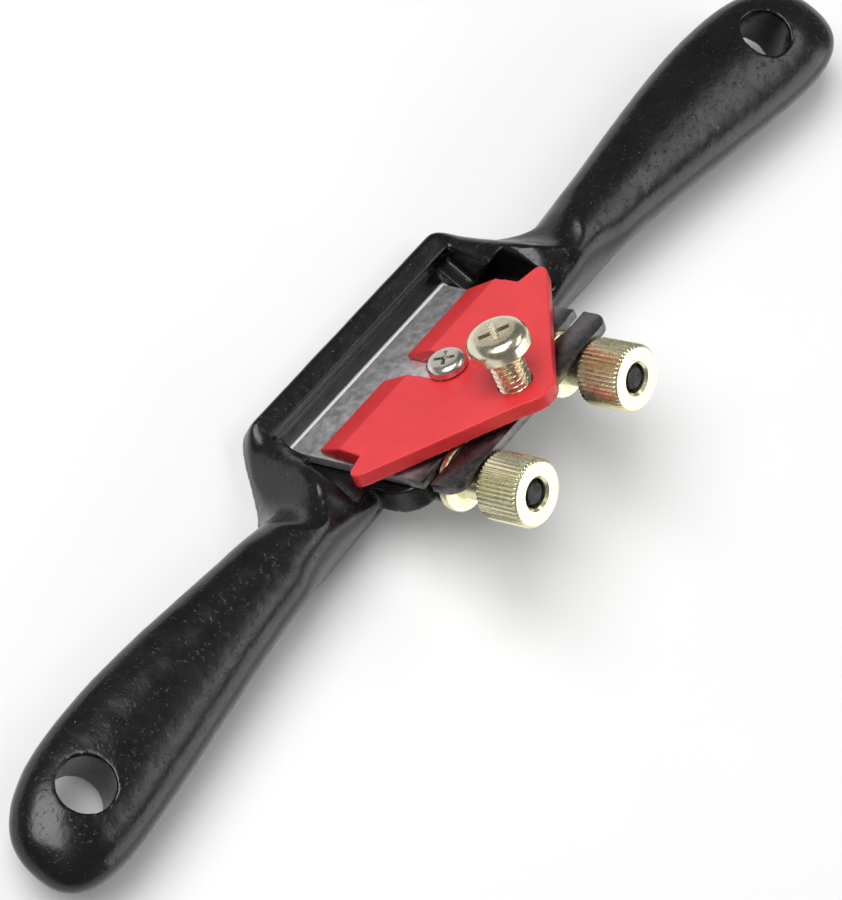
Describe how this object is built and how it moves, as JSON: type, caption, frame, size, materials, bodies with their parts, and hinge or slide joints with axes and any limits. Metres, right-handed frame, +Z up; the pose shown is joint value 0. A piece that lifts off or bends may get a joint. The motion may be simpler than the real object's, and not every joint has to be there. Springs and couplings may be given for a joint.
{
  "type": "spokeshave",
  "caption": "Flat-sole spokeshave: cast body with two handles and hanging holes, bedded cutter, red lever cap with thumbscrew, and knurled brass adjusting nuts.",
  "frame": {"origin": "on the sole, in the middle of its footprint, midway between the two handle tips", "axes": "+X along the handles, +Y towards the back where the adjusting nuts are, +Z up from the sole"},
  "size_m": [0.222, 0.0472, 0.0375],
  "materials": {
    "black_enamel": "gloss black enamel over rough cast iron, with orange peel and small pits",
    "red_enamel": "satin red enamel, thin at the edges",
    "cutter_steel": "surface-ground steel with a honed bevel",
    "screw_steel": "bright zinc-plated turned steel",
    "stud_steel": "dark oiled threaded steel",
    "thumbscrew_brass": "pale brass-plated, turned and threaded",
    "nut_brass": "pale turned brass with straight knurling"
  },
  "bodies": {
    "body": {"body_casting": "black_enamel", "adjusting_stud_left": "stud_steel", "adjusting_stud_right": "stud_steel"},
    "cutter": {"cutter": "cutter_steel"},
    "lever_cap": {"lever_cap": "red_enamel"},
    "lever_cap_screw": {"lever_cap_screw": "screw_steel"},
    "thumbscrew": {"thumbscrew": "thumbscrew_brass"},
    "nut_left": {"adjusting_nut_left": "nut_brass"},
    "nut_right": {"adjusting_nut_right": "nut_brass"}
  },
  "joints": [
    {"name": "cutter_feed", "type": "slide", "parent": "body", "child": "cutter", "axis": [0, 0.7071, 0.7071], "range_m": [-0.0016, 0.0016]},
    {"name": "nut_left_turn", "type": "hinge", "parent": "cutter", "child": "nut_left", "pos_m": [-0.0144, 0.02469, 0.02305], "axis": [0, 0.7071, 0.7071], "range_deg": [-720, 720]},
    {"name": "nut_right_turn", "type": "hinge", "parent": "cutter", "child": "nut_right", "pos_m": [0.0144, 0.02469, 0.02305], "axis": [0, 0.7071, 0.7071], "range_deg": [-720, 720]},
    {"name": "lever_cap_slide", "type": "slide", "parent": "body", "child": "lever_cap", "axis": [0, 0.7071, 0.7071], "range_m": [0, 0.014]},
    {"name": "thumbscrew_turn", "type": "hinge", "parent": "lever_cap", "child": "thumbscrew", "pos_m": [0, 0.01571, 0.0268], "axis": [0, -0.7071, 0.7071], "range_deg": [0, 720]},
    {"name": "lever_cap_screw_turn", "type": "hinge", "parent": "body", "child": "lever_cap_screw", "pos_m": [0, 0.0056, 0.01669], "axis": [0, -0.7071, 0.7071], "range_deg": [0, 720]}
  ],
  "couplings": [
    {"joint": "nut_left_turn", "follows": "cutter_feed", "rad_per_m": 7854},
    {"joint": "nut_right_turn", "follows": "cutter_feed", "rad_per_m": 7854}
  ]
}
